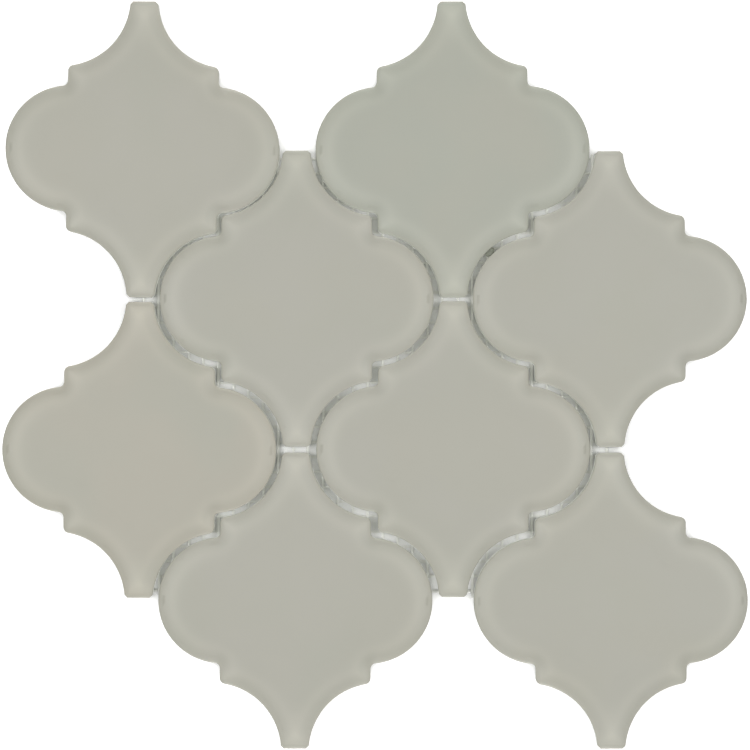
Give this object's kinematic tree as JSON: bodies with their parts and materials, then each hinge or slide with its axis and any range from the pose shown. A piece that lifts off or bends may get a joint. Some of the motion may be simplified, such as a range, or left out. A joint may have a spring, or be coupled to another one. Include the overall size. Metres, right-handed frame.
{
  "type": "moroccan arabesque tile",
  "caption": "Interlocking mosaic sheet of frosted glass tiles in an arabesque lantern shape, held at their joints' spacing by a glass-fibre net.",
  "frame": {"origin": "middle of the sheet's bounding box, on the underside of the net", "axes": "+Z out of the tiles' face, +Y up the sheet along the tiles' tips, +X to the right as the face is looked at"},
  "size_m": [0.2488, 0.2494, 0.0086],
  "materials": {
    "frosted_glass": "frosted face, back painted warm grey",
    "glass_fibre_net": "white resin-coated glass-fibre yarn"
  },
  "bodies": {
    "root": {"tile_row1_left": "frosted_glass", "tile_row1_right": "frosted_glass", "tile_row2_left": "frosted_glass", "tile_row2_right": "frosted_glass", "tile_row3_left": "frosted_glass", "tile_row3_right": "frosted_glass", "tile_row4_left": "frosted_glass", "tile_row4_right": "frosted_glass", "net_cross_yarns": "glass_fibre_net", "net_long_yarns": "glass_fibre_net"}
  },
  "joints": []
}
